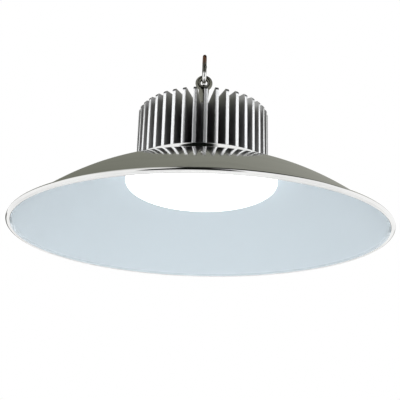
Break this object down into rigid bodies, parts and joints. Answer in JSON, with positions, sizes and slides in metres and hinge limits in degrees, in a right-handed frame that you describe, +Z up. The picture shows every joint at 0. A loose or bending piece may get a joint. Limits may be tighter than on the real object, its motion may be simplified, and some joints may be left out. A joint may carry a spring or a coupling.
{
  "type": "high bay light",
  "caption": "Round pendant light: radial-fin heat sink over a spun dome shade with rolled rim, opal bowl diffuser, eye bolt with a swinging link, cable gland on top.",
  "frame": {"origin": "centre of the circle the shade's rim rests on, at the rim's lowest line", "axes": "+Z up along the light's axis, towards the eye bolt; +X along the pin direction of the eye, so the link lies in the YZ plane; +Y towards the cable gland"},
  "size_m": [0.4, 0.4, 0.2196],
  "materials": {
    "sink_aluminium": "turned tips, satin sides",
    "disc_aluminium": "polished",
    "shade_aluminium": "mirror outside, satin pale inside",
    "opal_plastic": "opal, smooth",
    "plated_steel": "bright plated forging and wire",
    "zinc_steel": "zinc plated",
    "screw_steel": "stainless",
    "gland_brass": "nickel plated",
    "black_rubber": "matte",
    "white_silicone": "matte",
    "grey_pad": "matte",
    "board_white": "white solder resist on aluminium",
    "led_package": "phosphor",
    "chip_black": "moulded",
    "varistor_blue": "dipped",
    "fuse_ceramic": "plain",
    "terminal_white": "moulded"
  },
  "bodies": {
    "light": {"heat_sink": "sink_aluminium", "mounting_disc": "disc_aluminium", "shade": "shade_aluminium", "neck_gaskets": "white_silicone", "diffuser_collar": "disc_aluminium", "diffuser_seal": "white_silicone", "diffuser": "opal_plastic", "thermal_pad": "grey_pad", "led_board": "board_white", "led_chips": "led_package", "driver_chips": "chip_black", "rectifiers": "chip_black", "varistor": "varistor_blue", "fuse": "fuse_ceramic", "terminal_block": "terminal_white", "hub_screws": "screw_steel", "board_screws": "screw_steel", "collar_screws": "screw_steel", "eye_bolt": "plated_steel", "eye_washer": "zinc_steel", "eye_lock_nut": "zinc_steel", "gland_ring": "black_rubber", "gland_body": "gland_brass", "gland_seal": "black_rubber", "gland_cap": "gland_brass"},
    "link": {"hanging_link": "plated_steel"}
  },
  "joints": [
    {"name": "link_swing", "type": "hinge", "parent": "light", "child": "link", "pos_m": [0, 0, 0.1904], "axis": [1, 0, 0], "range_deg": [-95, 95]}
  ]
}
